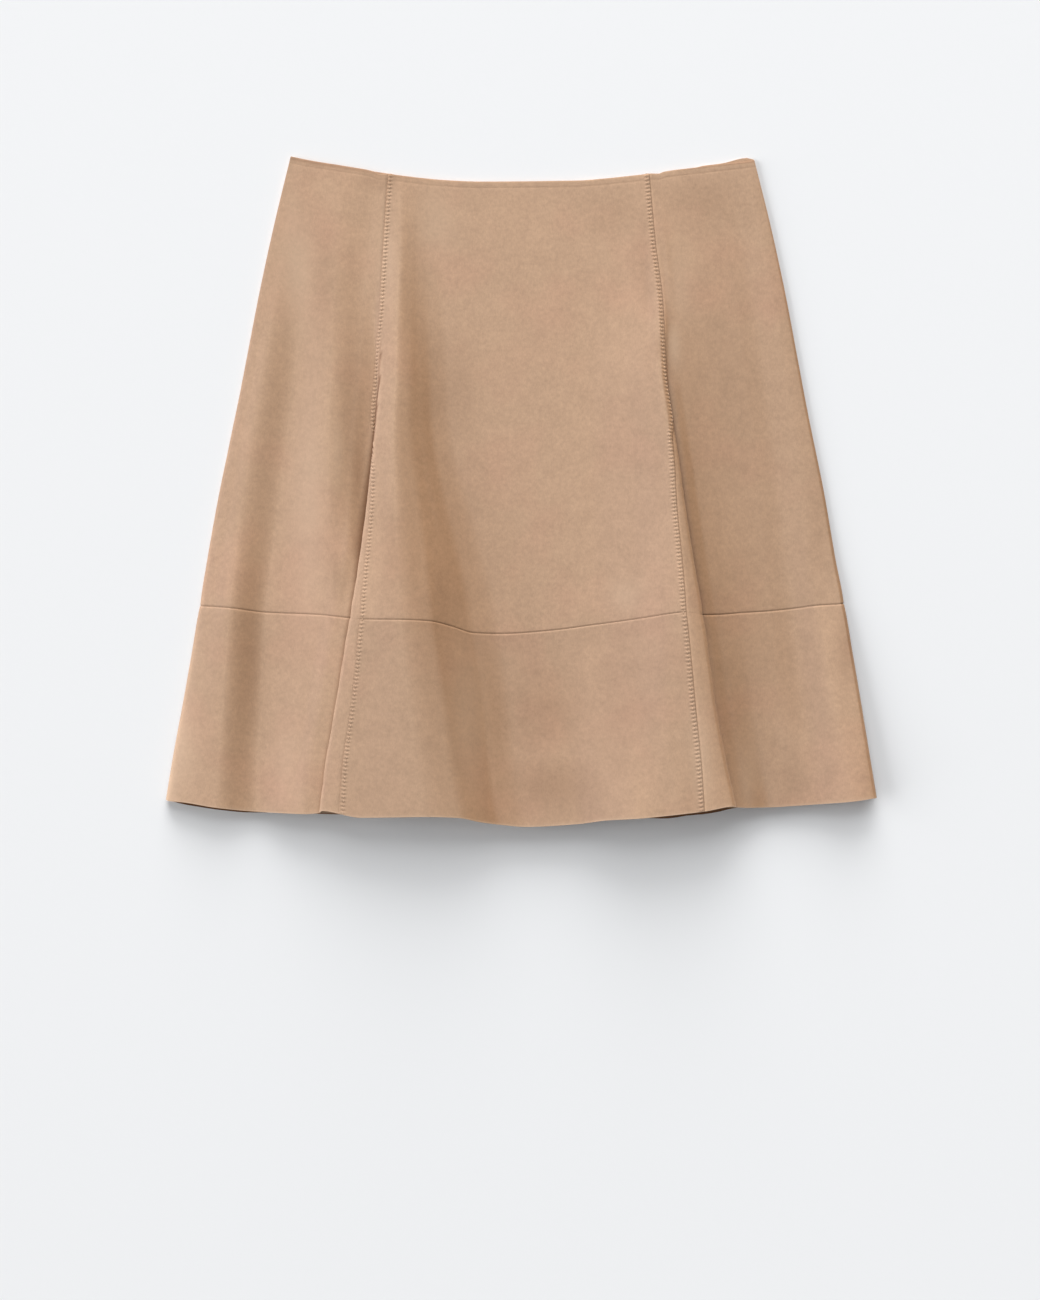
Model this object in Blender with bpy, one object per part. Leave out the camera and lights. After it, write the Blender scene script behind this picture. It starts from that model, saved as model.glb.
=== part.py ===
"""A short A-line skirt of suede, lying flat with its front side up.

The front is a centre panel and two side panels, each with a hem band under it. The flare
stands up in soft swells towards the hem, and beside each princess seam the cloth rolls
over the side panel in one long fold. The back lies flat under the front. Every wall is
suede of one thickness. Sizes are millimetres until a mesh is made; +X is the right side
as seen from above, +Y is towards the waist, and the surface it rests on is Z = 0.
"Place" is how far down the skirt a point is: 0 at the waist, 1 at the seam of the hem
band and 2 at the hem. "Drop" is how far it lies below the highest point of the waist.
"""
from collections import namedtuple

import bmesh
import bpy
import numpy as np

MM = 0.001

# Driving sizes.
LENGTH = 535.0          # highest point of the waist to lowest point of the hem
WALL = 1.2              # thickness of the suede
GAP = 0.3               # between neighbouring pieces
EDGE_ROLL = 2.2         # how far a fold's edge rolls over before it is level
FOLD_CLOTH = (46.0, 76.0)   # cloth in a fold, up to its seam, at the waist and at the hem
FOLD_STEPS = 16         # facets round a fold
SIDE_STEPS = 8          # facets across the rest of a side panel
CENTRE_STEPS = 20       # facets across the middle of the centre panel
BESIDE_A_SEAM = (3.0, 6.0, 9.5)     # shorter facets of the centre panel beside its seams
BACK_ROWS = 4
BACK_BAND_ROWS = 2

REST_LEVEL = WALL + GAP + WALL / 2.0    # middle of the front's wall where it lies on the back

# Rows down the skirt. A side or a fold's edge is given by its X. A seam is given by its
# distance along the cloth from the fold's edge towards the middle, and below zero it lies
# on the fold's steep side. A depth is how far the cloth goes in under the fold's edge, and
# below zero the fold is still a slope.
Row = namedtuple("Row", "place left_side left_fold left_seam right_seam right_fold "
                        "right_side left_depth right_depth")
ROWS = (
    Row(0.00, -184.5, -106.5, 0.0, 0.0, 102.0, 186.2, -4.0, -4.0),
    Row(0.15, -197.4, -108.0, -2.2, 0.0, 106.6, 199.2, -4.0, -4.0),
    Row(0.30, -209.0, -110.6, -2.8, 0.0, 112.8, 210.6, -3.5, -2.5),
    Row(0.45, -219.4, -112.4, -8.0, -1.0, 114.8, 220.6, -1.0, -0.5),
    Row(0.55, -226.4, -115.8, -10.8, -2.0, 119.4, 227.2, 1.0, 1.0),
    Row(0.60, -230.2, -117.6, -10.8, 2.4, 122.0, 230.7, 3.5, 2.0),
    Row(0.63, -232.4, -118.6, -6.5, 3.3, 123.7, 232.9, 4.3, 2.8),
    Row(0.66, -234.6, -119.6, 0.0, 4.2, 125.4, 235.1, 5.0, 3.5),
    Row(0.75, -241.3, -123.0, 2.8, 6.8, 129.6, 241.5, 7.0, 5.5),
    Row(0.90, -250.9, -130.2, 5.2, 10.3, 137.8, 250.5, 9.0, 10.5),
    Row(1.00, -256.4, -135.7, 8.0, 13.5, 143.4, 257.0, 10.0, 13.0),
    Row(1.25, -263.2, -142.3, 10.8, 15.4, 149.2, 263.8, 13.5, 16.2),
    Row(1.50, -270.0, -148.6, 12.7, 17.4, 154.5, 270.2, 17.0, 19.5),
    Row(1.75, -277.2, -155.2, 14.3, 20.8, 161.6, 276.4, 20.5, 22.8),
    Row(2.00, -283.6, -160.0, 16.6, 26.8, 169.8, 282.6, 24.0, 26.0),
)

# Lines that run down the front, each between two edges. A share is how far across it lies,
# at the waist, half way to the band, at the band and at the hem. A rise is its height over
# the level of rest at a quarter, a half and three quarters of the way to the band, at the
# band and at the hem. The drops are where it meets the band's seam and the hem.
Line = namedtuple("Line", "start end waist middle band hem "
                          "quarter_rise half_rise late_rise band_rise hem_rise band_drop hem_drop")
LEFT_LINES = (
    Line("left_side", "left_fold", 0.000, 0.00, 0.00, 0.000, 0.0, 0.0, 0.0, 0.0, 1.0, 359.0, 514.0),
    Line("left_side", "left_fold", 0.020, 0.018, 0.016, 0.015, 0.6, 1.0, 1.2, 1.8, 4.0, 359.5, 515.0),
    Line("left_side", "left_fold", 0.07, 0.07, 0.09, 0.11, 0.7, 2.0, 2.6, 4.2, 7.6, 360.0, 515.9),
    Line("left_side", "left_fold", 0.13, 0.14, 0.20, 0.33, 0.8, 3.2, 4.2, 7.2, 10.4, 361.0, 520.2),
    Line("left_side", "left_fold", 0.26, 0.37, 0.43, 0.58, 0.3, 0.8, 1.2, 2.0, 6.3, 364.5, 523.4),
    Line("left_side", "left_fold", 0.54, 0.65, 0.80, 0.80, 2.8, 6.4, 9.6, 9.2, 13.0, 366.5, 524.6),
    Line("left_side", "left_fold", 0.86, 0.83, 0.91, 0.91, 1.5, 4.0, 8.0, 12.0, 15.6, 368.0, 524.9),
)
LEFT_FOOT = Line("left_fold", "left_side", 0.0, 0.0, 0.0, 0.0, 1.6, 1.8, 5.2, 12.2, 15.4, 368.5, 525.0)
CENTRE_LINES = (
    Line("left_fold", "right_fold", 0.000, 0.000, 0.000, 0.000, 2.8, 8.6, 11.6, 17.2, 20.4, 369.7, 522.1),
    Line("left_fold", "right_fold", 0.020, 0.025, 0.060, 0.100, 3.6, 9.7, 13.1, 19.2, 23.4, 370.2, 527.4),
    Line("left_fold", "right_fold", 0.050, 0.057, 0.142, 0.260, 4.7, 11.2, 15.3, 22.0, 28.0, 370.5, 526.6),
    Line("left_fold", "right_fold", 0.080, 0.098, 0.222, 0.332, 3.5, 9.8, 12.9, 19.0, 26.2, 371.5, 527.4),
    Line("left_fold", "right_fold", 0.110, 0.143, 0.284, 0.388, 1.9, 6.4, 8.3, 12.0, 21.0, 375.5, 531.2),
    Line("left_fold", "right_fold", 0.150, 0.187, 0.352, 0.434, 0.8, 3.0, 3.8, 4.7, 15.8, 381.0, 533.4),
    Line("left_fold", "right_fold", 0.200, 0.249, 0.426, 0.496, 0.3, 1.0, 1.2, 1.4, 13.8, 381.6, 535.2),
    Line("left_fold", "right_fold", 0.350, 0.387, 0.557, 0.620, 0.3, 0.6, 0.6, 0.8, 15.8, 379.3, 532.9),
    Line("left_fold", "right_fold", 0.720, 0.715, 0.693, 0.690, 0.6, 1.6, 1.8, 2.6, 22.8, 374.5, 529.6),
    Line("left_fold", "right_fold", 0.840, 0.846, 0.812, 0.770, 1.6, 5.8, 7.2, 9.2, 28.6, 370.0, 527.8),
    Line("left_fold", "right_fold", 0.940, 0.946, 0.903, 0.860, 3.6, 11.2, 13.8, 18.5, 28.4, 366.0, 524.8),
    Line("left_fold", "right_fold", 0.985, 0.985, 0.952, 0.925, 5.2, 12.8, 16.0, 20.5, 27.4, 364.5, 522.2),
    Line("left_fold", "right_fold", 1.000, 1.000, 1.000, 1.000, 5.0, 12.4, 15.4, 19.2, 25.4, 366.0, 518.4),
)
RIGHT_FOOT = Line("right_fold", "right_side", 0.0, 0.0, 0.0, 0.0, 4.4, 8.8, 12.0, 13.8, 15.6, 367.5, 520.0)
RIGHT_LINES = (
    Line("right_fold", "right_side", 0.14, 0.11, 0.105, 0.105, 3.8, 6.9, 8.2, 9.8, 10.6, 366.5, 520.2),
    Line("right_fold", "right_side", 0.42, 0.36, 0.28, 0.26, 2.3, 3.5, 4.4, 5.4, 5.8, 365.0, 520.0),
    Line("right_fold", "right_side", 0.60, 0.58, 0.48, 0.39, 1.2, 1.8, 2.0, 2.4, 6.0, 363.5, 519.1),
    Line("right_fold", "right_side", 0.76, 0.74, 0.65, 0.55, 0.5, 0.8, 0.8, 0.8, 7.6, 361.5, 517.8),
    Line("right_fold", "right_side", 0.90, 0.88, 0.82, 0.84, 0.8, 1.2, 1.4, 3.0, 13.0, 359.0, 515.0),
    Line("right_fold", "right_side", 0.985, 0.985, 0.985, 0.985, 0.5, 0.8, 1.0, 3.0, 11.6, 357.8, 512.6),
    Line("right_fold", "right_side", 1.00, 1.00, 1.00, 1.00, 0.0, 0.0, 0.0, 1.0, 7.6, 357.5, 512.4),
)

# The front's waist: X, and how far the edge lies below its highest point.
WAIST = ((-185.0, 0.0), (-168.0, 3.5), (-137.0, 8.5), (-107.0, 14.0), (-53.0, 19.5),
         (7.0, 21.0), (63.0, 18.0), (101.0, 14.0), (135.0, 9.5), (187.0, 3.5))

# The back by its share of the way across, with its drop at the waist, the band's seam and
# the hem. At the right its waist stands a little higher than the front's.
BackColumn = namedtuple("BackColumn", "share waist_drop band_drop hem_drop")
BACK = (
    BackColumn(0.00, 0.6, 359.5, 513.9),
    BackColumn(0.007, 1.2, 359.7, 515.5),
    BackColumn(0.025, 2.6, 360.2, 518.0),
    BackColumn(0.047, 4.2, 360.9, 520.1),
    BackColumn(0.068, 5.8, 361.6, 521.9),
    BackColumn(0.089, 7.1, 362.4, 523.3),
    BackColumn(0.110, 8.3, 363.1, 524.3),
    BackColumn(0.137, 9.6, 363.8, 524.4),
    BackColumn(0.16, 10.8, 364.5, 524.6),
    BackColumn(0.215, 13.8, 366.2, 525.6),
    BackColumn(0.30, 18.5, 368.5, 526.6),
    BackColumn(0.50, 21.5, 370.5, 529.0),
    BackColumn(0.66, 18.9, 368.0, 528.6),
    BackColumn(0.70, 18.0, 367.2, 529.3),
    BackColumn(0.712, 17.6, 366.9, 529.0),
    BackColumn(0.735, 16.9, 366.3, 526.9),
    BackColumn(0.76, 16.0, 365.5, 525.7),
    BackColumn(0.785, 14.9, 364.6, 523.2),
    BackColumn(0.80, 14.2, 364.0, 521.0),
    BackColumn(0.86, 10.6, 362.0, 517.6),
    BackColumn(0.885, 7.6, 361.4, 516.9),
    BackColumn(0.93, 5.4, 360.0, 515.2),
    BackColumn(0.985, 1.0, 358.0, 512.4),
    BackColumn(1.00, 2.4, 357.5, 511.9),
)

# The sides of a piece in its grid of points, each with the sign of the way in.
SIDES = {
    "top": (np.s_[0], -1.0),
    "bottom": (np.s_[-1], 1.0),
    "start": (np.s_[:, 0], 1.0),
    "end": (np.s_[:, -1], -1.0),
}

SUEDE_COLOUR = (0.54, 0.36, 0.24, 1.0)


def smooth_line(knots, values, places):
    """Values at places on the smooth line through the values, level where it turns back."""
    knots = np.asarray(knots, float)
    values = np.asarray(values, float).reshape(len(knots), -1)
    run = np.diff(knots)[:, None]
    rate = np.diff(values, axis=0) / run
    product = rate[1:] * rate[:-1]
    total = rate[1:] + rate[:-1]
    slopes = np.vstack([rate[:1], np.zeros_like(product), rate[-1:]])
    same_way = product > 0.0
    slopes[1:-1][same_way] = 2.0 * product[same_way] / total[same_way]
    places = np.atleast_1d(np.asarray(places, float))
    span = np.clip(np.searchsorted(knots, places, side="right") - 1, 0, len(run) - 1)
    share = (places - knots[span])[:, None] / run[span]
    rest = 1.0 - share
    return (values[span] * rest ** 2 * (1.0 + 2.0 * share)
            + values[span + 1] * share ** 2 * (3.0 - 2.0 * share)
            + run[span] * share * rest * (slopes[span] * rest - slopes[span + 1] * share))


def row_at(place):
    """Every column of the table of rows, at a place down the skirt."""
    return Row(*smooth_line([row.place for row in ROWS], ROWS, place)[0])


def blend(low, high, share):
    return low + (high - low) * share


def drop_at(place, at_waist, at_band, at_hem):
    """The drop down a line: evenly to the band seam, and evenly on to the hem."""
    return np.interp(place, (0.0, 1.0, 2.0), (at_waist, at_band, at_hem))


def waist_drop(x):
    """How far the front's waist edge lies below its highest point."""
    return smooth_line(*zip(*WAIST), x)[0, 0]


def line_point(line, row):
    """Where a line of the front crosses a row."""
    share = smooth_line((0.0, 0.5, 1.0, 2.0), (line.waist, line.middle, line.band, line.hem),
                        row.place)[0, 0]
    rise = smooth_line((0.0, 0.25, 0.5, 0.75, 1.0, 2.0),
                       (0.0, line.quarter_rise, line.half_rise, line.late_rise, line.band_rise,
                        line.hem_rise), row.place)[0, 0]
    x = blend(getattr(row, line.start), getattr(row, line.end), share)
    at_waist = blend(getattr(ROWS[0], line.start), getattr(ROWS[0], line.end), line.waist)
    drop = drop_at(row.place, waist_drop(at_waist), line.band_drop, line.hem_drop)
    return np.array((x, LENGTH / 2.0 - drop, REST_LEVEL + rise))


def fold_points(foot, edge, outwards, depth):
    """The turns of a fold, from the side panel up to its edge.

    The cloth goes in under the edge at the foot's level, turns back at the fold's depth
    and comes out again to the edge. Each turn is given by how far it lies in under the
    edge and by its height over the foot. Where the depth is below zero it is a soft ramp.
    """
    height = max(0.1, edge[2] - foot[2])
    bend = min(1.6, 0.22 * height)
    soft = min(1.0, max(0.0, -depth / 2.0))
    start = 1.4 * min(depth, 0.0) + 0.35 * max(depth, 0.0) - 2.0
    turns = []
    for reach, rise in ((start, 0.0),
                        (depth - bend, 0.22 * height - bend),
                        (depth, 0.22 * height),
                        (max(0.75 * depth, depth - bend), 0.22 * height + bend),
                        (0.5 * depth, 0.50 * height),
                        (min(bend, 0.25 * depth), 0.75 * height - bend),
                        (0.0, 0.75 * height)):
        turn = blend(foot, edge, 0.5)
        turn[0] = edge[0] - outwards * reach
        share = min(1.0, 1.0 - reach / start)
        ramp = 0.75 * height * share * share * (3.0 - 2.0 * share)
        turn[2] = foot[2] + blend(rise, ramp, soft)
        turns.append(turn)
    return turns


def halved(knots):
    """The knots and the places half way between them."""
    knots = np.asarray(knots, float)
    return np.sort(np.concatenate([knots, (knots[1:] + knots[:-1]) / 2.0]))


def front_section(place):
    """The knots of the front across one row, the cloth's length to each and to the seams."""
    row = row_at(place)
    centre = [line_point(line, row) for line in CENTRE_LINES]
    left = [line_point(line, row) for line in LEFT_LINES]
    left += fold_points(line_point(LEFT_FOOT, row), centre[0], -1.0, row.left_depth)
    right = fold_points(line_point(RIGHT_FOOT, row), centre[-1], 1.0, row.right_depth)[::-1]
    right += [line_point(line, row) for line in RIGHT_LINES]
    for edge, inwards in ((centre[0], 1.0), (centre[-1], -1.0)):
        edge[0] += inwards * EDGE_ROLL
    knots = np.array(left + centre + right)
    steps = np.linalg.norm(np.diff(knots, axis=0), axis=1)
    lengths = np.concatenate([[0.0], np.cumsum(steps)])
    left_seam = lengths[len(left) - 1] + row.left_seam
    right_seam = lengths[len(left) + len(centre)] - row.right_seam
    return knots, lengths, left_seam, right_seam


def front_row(place):
    """The front's points across one row: round the folds in short steps."""
    knots, lengths, left_seam, right_seam = front_section(place)
    fold = blend(*FOLD_CLOTH, place / 2.0)
    beside = np.array(BESIDE_A_SEAM)
    centre_marks = (left_seam, *(left_seam + beside), *(right_seam - beside[::-1]), right_seam)
    marks = (0.0, left_seam - fold, *centre_marks, right_seam + fold, lengths[-1])
    beside_steps = (1,) * len(BESIDE_A_SEAM)
    centre_steps = (*beside_steps, CENTRE_STEPS, *beside_steps)
    steps = (SIDE_STEPS, FOLD_STEPS, *centre_steps, FOLD_STEPS, SIDE_STEPS)
    places = [marks[:1]]
    for first, last, count in zip(marks, marks[1:], steps):
        places.append(np.linspace(first, last, count + 1)[1:])
    return smooth_line(lengths, knots, np.concatenate(places))


def upward(points):
    """The upward normal at each point of a grid, square to the row it lies in."""
    normal = np.cross(np.gradient(points, axis=1), (0.0, 1.0, 0.0))
    return normal / np.linalg.norm(normal, axis=2, keepdims=True)


def drawn_in(points, facing, sides):
    """A piece's points with its seamed sides moved in by half the gap at a seam."""
    moved = points.copy()
    for side in sides:
        edge, sign = SIDES[side]
        inwards = sign * np.cross(facing[edge], np.gradient(points[edge], axis=0))
        inwards /= np.linalg.norm(inwards, axis=1, keepdims=True)
        moved[edge] += inwards * GAP / 2.0
    return moved


def suede(name):
    material = bpy.data.materials.new(name + "_suede")
    material.use_nodes = True
    shader = material.node_tree.nodes["Principled BSDF"]
    shader.inputs["Base Color"].default_value = SUEDE_COLOUR
    shader.inputs["Roughness"].default_value = 0.95
    shader.inputs["Metallic"].default_value = 0.0
    return material


def rim(grid):
    """The points round the outside of a grid, in order."""
    right = [row[-1] for row in grid[1:-1]]
    left = [row[0] for row in grid[1:-1]]
    return grid[0] + right + grid[-1][::-1] + left[::-1]


def wall(name, points, facing):
    """One piece of suede: a closed wall round the points in its middle."""
    mesh = bmesh.new()
    upper, lower = [
        [[mesh.verts.new(corner) for corner in row]
         for row in (points + facing * side * WALL / 2.0) * MM]
        for side in (1.0, -1.0)]
    for i in range(len(upper) - 1):
        for j in range(len(upper[0]) - 1):
            mesh.faces.new((upper[i][j], upper[i + 1][j], upper[i + 1][j + 1], upper[i][j + 1]))
            mesh.faces.new((lower[i][j], lower[i][j + 1], lower[i + 1][j + 1], lower[i + 1][j]))
    above, below = rim(upper), rim(lower)
    turn = len(upper[0]) + len(upper) - 2
    for here in range(len(above)):
        side = (above[here - 1], above[here], below[here], below[here - 1])
        if not 0 < here <= turn:        # both sides of a seam are split the same way
            side = side[1:] + side[:1]
        mesh.faces.new(side[:3])
        mesh.faces.new((side[0], side[2], side[3]))
    bmesh.ops.recalc_face_normals(mesh, faces=mesh.faces)
    data = bpy.data.meshes.new(name)
    mesh.to_mesh(data)
    mesh.free()
    data.materials.append(suede(name))
    piece = bpy.data.objects.new(name, data)
    bpy.context.collection.objects.link(piece)
    return piece


def make_front():
    """The three panels and three bands, cut from one surface so that they meet."""
    places = halved([row.place for row in ROWS])
    band_seam = np.searchsorted(places, 1.0)
    points = np.array([front_row(place) for place in places])
    facing = upward(points)
    left_seam = SIDE_STEPS + FOLD_STEPS
    right_seam = left_seam + CENTRE_STEPS + 2 * len(BESIDE_A_SEAM)
    across = {
        "left": (slice(0, left_seam + 1), ("end",)),
        "centre": (slice(left_seam, right_seam + 1), ("start", "end")),
        "right": (slice(right_seam, None), ("start",)),
    }
    down = {
        "panel": (slice(0, band_seam + 1), ("bottom",)),
        "band": (slice(band_seam, None), ("top",)),
    }
    for column, (columns, seams) in across.items():
        for part, (rows, ends) in down.items():
            turned = facing[rows, columns]
            cut = drawn_in(points[rows, columns], turned, seams + ends)
            wall("front_" + column + "_" + part, cut, turned)


def make_back():
    """The back panel and its band, flat on the surface."""
    shares = [column.share for column in BACK]
    steps = halved(shares)
    drops = smooth_line(shares, [column[1:] for column in BACK], steps)
    for name, first, last, rows, seam in (("back_panel", 0.0, 1.0, BACK_ROWS, "bottom"),
                                          ("back_band", 1.0, 2.0, BACK_BAND_ROWS, "top")):
        points = np.empty((rows + 1, len(steps), 3))
        for i, place in enumerate(np.linspace(first, last, rows + 1)):
            row = row_at(place)
            points[i, :, 0] = blend(row.left_side + GAP, row.right_side - GAP, steps)
            points[i, :, 1] = [LENGTH / 2.0 - drop_at(place, *drop) for drop in drops]
            points[i, :, 2] = WALL / 2.0
        facing = upward(points)
        wall(name, drawn_in(points, facing, [seam]), facing)


for old in list(bpy.data.objects):
    bpy.data.objects.remove(old, do_unlink=True)
make_front()
make_back()
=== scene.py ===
"""The looks of a short suede A-line skirt that lies flat with its front side up.

Lengths are millimetres until a mesh is made. X runs to the right as seen from above, and
"drop" is how far a point lies below the highest point of the waist. "Place" is how far
down the skirt a point is: 0 at the waist, 1 at the seam of the hem band, 2 at the hem.
"""
from collections import namedtuple
from math import cos, pi, radians, sin

import bpy
import numpy as np
from mathutils import Matrix, Vector


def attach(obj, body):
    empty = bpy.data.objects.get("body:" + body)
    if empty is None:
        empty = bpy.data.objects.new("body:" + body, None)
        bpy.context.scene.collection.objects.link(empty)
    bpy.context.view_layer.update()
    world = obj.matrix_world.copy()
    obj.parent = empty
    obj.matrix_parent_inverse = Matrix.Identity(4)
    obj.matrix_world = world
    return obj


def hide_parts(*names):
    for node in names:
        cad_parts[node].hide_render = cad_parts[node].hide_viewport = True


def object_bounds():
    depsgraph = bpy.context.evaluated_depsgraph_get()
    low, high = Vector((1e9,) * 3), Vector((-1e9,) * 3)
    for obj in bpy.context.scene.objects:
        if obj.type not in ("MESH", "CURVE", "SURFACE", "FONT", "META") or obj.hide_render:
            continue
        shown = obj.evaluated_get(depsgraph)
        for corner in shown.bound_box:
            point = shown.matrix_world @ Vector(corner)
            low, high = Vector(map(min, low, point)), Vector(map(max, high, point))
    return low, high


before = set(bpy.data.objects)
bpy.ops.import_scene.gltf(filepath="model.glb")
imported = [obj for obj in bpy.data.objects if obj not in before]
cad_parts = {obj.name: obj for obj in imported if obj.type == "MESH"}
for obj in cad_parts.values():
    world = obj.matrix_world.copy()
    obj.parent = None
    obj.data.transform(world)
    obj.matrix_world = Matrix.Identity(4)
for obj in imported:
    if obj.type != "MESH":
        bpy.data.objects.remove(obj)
cad_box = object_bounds()
MM = 0.001

# ---------------------------------------------------------------------------------------
# The surface it lies on, the studio light and the camera.
# A pale matt table top, with painted shade that darkens it a little towards the hem, for
# the falloff of the lamps beyond the waist. Two large soft lamps beyond the waist, low and
# high, and one at the left light it, and it is seen from straight above.
# ---------------------------------------------------------------------------------------
FLOOR_SIZE = 6.0
# Painted shade: the table is painted from FLOOR_FAR beyond the waist to the darker FLOOR_NEAR at
# the hem.
FLOOR_FAR = (0.868, 0.876, 0.888, 1.0)
FLOOR_NEAR = (0.829, 0.837, 0.849, 1.0)
FLOOR_SHADES_OVER = (-0.6, 0.4)
Lamp = namedtuple("Lamp", "name azimuth elevation spread share")
LAMPS = (
    Lamp("low_lamp_beyond_waist", 91.0, 14.0, 36.0, 0.23),
    Lamp("high_lamp_beyond_waist", 91.0, 30.0, 60.0, 0.33),
    Lamp("lamp_at_left", 180.0, 19.0, 50.0, 0.30),
)
LAMP_DISTANCE = 3.0
SKY_SHARE = 0.18
SKY_COLOUR = (0.97, 0.985, 1.0, 1.0)
CAMERA_PLACE = (-1.2 * MM, -127.0 * MM, 2.5)
VIEW_HEIGHT = 1040.0 * MM
SENSOR = 36.0

bpy.ops.object.select_all(action="DESELECT")
bpy.ops.mesh.primitive_plane_add(size=FLOOR_SIZE)
floor = bpy.context.active_object
floor.name = "table_top"
floor_finish = bpy.data.materials.new("pale_table_top")
floor_finish.use_nodes = True
floor_tree = floor_finish.node_tree
shader = floor_tree.nodes["Principled BSDF"]
shader.inputs["Roughness"].default_value = 0.9
shader.inputs["Specular IOR Level"].default_value = 0.1
floor_place = floor_tree.nodes.new("ShaderNodeTexCoord")
floor_axes = floor_tree.nodes.new("ShaderNodeSeparateXYZ")
floor_share = floor_tree.nodes.new("ShaderNodeMapRange")
floor_share.inputs["From Min"].default_value = FLOOR_SHADES_OVER[0]
floor_share.inputs["From Max"].default_value = FLOOR_SHADES_OVER[1]
floor_tone = floor_tree.nodes.new("ShaderNodeMix")
floor_tone.data_type = "RGBA"
floor_tone.inputs["A"].default_value = FLOOR_NEAR
floor_tone.inputs["B"].default_value = FLOOR_FAR
floor_tree.links.new(floor_place.outputs["Object"], floor_axes.inputs["Vector"])
floor_tree.links.new(floor_axes.outputs["Y"], floor_share.inputs["Value"])
floor_tree.links.new(floor_share.outputs["Result"], floor_tone.inputs["Factor"])
floor_tree.links.new(floor_tone.outputs["Result"], shader.inputs["Base Color"])
floor.data.materials.append(floor_finish)

for lamp in LAMPS:
    azimuth, elevation = radians(lamp.azimuth), radians(lamp.elevation)
    towards = Vector((
        cos(azimuth) * cos(elevation), sin(azimuth) * cos(elevation), sin(elevation)))
    bpy.ops.object.light_add(type="SUN", location=towards * LAMP_DISTANCE)
    light = bpy.context.active_object
    light.name = lamp.name
    light.rotation_euler = towards.to_track_quat("Z", "Y").to_euler()
    light.data.angle = radians(lamp.spread)
    light.data.energy = lamp.share * pi / sin(elevation)

sky = bpy.data.worlds.new("soft_studio")
bpy.context.scene.world = sky
sky.use_nodes = True
sky.node_tree.nodes["Background"].inputs["Color"].default_value = SKY_COLOUR
sky.node_tree.nodes["Background"].inputs["Strength"].default_value = SKY_SHARE

bpy.ops.object.camera_add(location=CAMERA_PLACE, rotation=(0.0, 0.0, 0.0))
camera = bpy.context.active_object
camera.name = "camera_above"
camera.data.sensor_width = SENSOR
camera.data.lens = SENSOR * CAMERA_PLACE[2] / VIEW_HEIGHT
bpy.context.scene.camera = camera
bpy.context.scene.view_settings.view_transform = "Standard"

# ---------------------------------------------------------------------------------------
# Back and back hem band.
# Two plain pieces of suede that lie flat on the table under the front. The back's waist
# edge stands a little above the front's at the right, and its hem shows as a dark
# crescent where the front's hem lifts.
# ---------------------------------------------------------------------------------------
WALL = 1.2
SEAM_GAP = 0.3
LENGTH = (cad_box[1].y - cad_box[0].y) / MM
# The line that shows between two sewn pieces.
SEAM_LINE = 0.1
# How far apart a cloth mesh's points are, in its middle, beside a seam and at a cut edge.
CLOTH_STEP = 2.3
BACK_ACROSS_STEP = 6.0
BACK_DOWN_STEP = 5.0
NEAR_A_SEAM = (0.0, 0.25, 0.6, 1.1, 1.6, 2.2, 2.8, 3.6, 4.7, 6.0)
NEAR_A_CUT = (0.0, 0.3, 0.8, 1.6)

# Rows down the skirt. A side or a fold's edge is given by its X. A seam is given by its
# distance along the cloth from the fold's edge towards the middle, and below zero it lies
# on the fold's steep side. A depth is how far the cloth goes in under the fold's edge, and
# below zero the fold is still a slope.
Row = namedtuple("Row", "place left_side left_fold left_seam right_seam right_fold "
                        "right_side left_depth right_depth")
ROWS = (
    Row(0.00, -184.5, -106.5, 0.0, 0.0, 102.0, 186.2, -4.0, -4.0),
    Row(0.15, -197.4, -108.0, -2.2, 0.0, 106.6, 199.2, -4.0, -4.0),
    Row(0.30, -209.0, -110.6, -2.8, 0.0, 112.8, 210.6, -3.5, -2.5),
    Row(0.45, -219.4, -112.4, -8.0, -1.0, 114.8, 220.6, -1.0, -0.5),
    Row(0.55, -226.4, -115.8, -10.8, -2.0, 119.4, 227.2, 1.0, 1.0),
    Row(0.60, -230.2, -117.6, -10.8, 2.4, 122.0, 230.7, 3.5, 2.0),
    Row(0.63, -232.4, -118.6, -6.5, 3.3, 123.7, 232.9, 4.3, 2.8),
    Row(0.66, -234.6, -119.6, 0.0, 4.2, 125.4, 235.1, 5.0, 3.5),
    Row(0.75, -241.3, -123.0, 2.8, 6.8, 129.6, 241.5, 7.0, 5.5),
    Row(0.90, -250.9, -130.2, 5.2, 10.3, 137.8, 250.5, 9.0, 10.5),
    Row(1.00, -256.4, -135.7, 8.0, 13.5, 143.4, 257.0, 10.0, 13.0),
    Row(1.25, -263.2, -142.3, 10.8, 15.4, 149.2, 263.8, 13.5, 16.2),
    Row(1.50, -270.0, -148.6, 12.7, 17.4, 154.5, 270.2, 17.0, 19.5),
    Row(1.75, -277.2, -155.2, 14.3, 20.8, 161.6, 276.4, 20.5, 22.8),
    Row(2.00, -283.6, -160.0, 16.6, 26.8, 169.8, 282.6, 24.0, 26.0),
)

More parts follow.
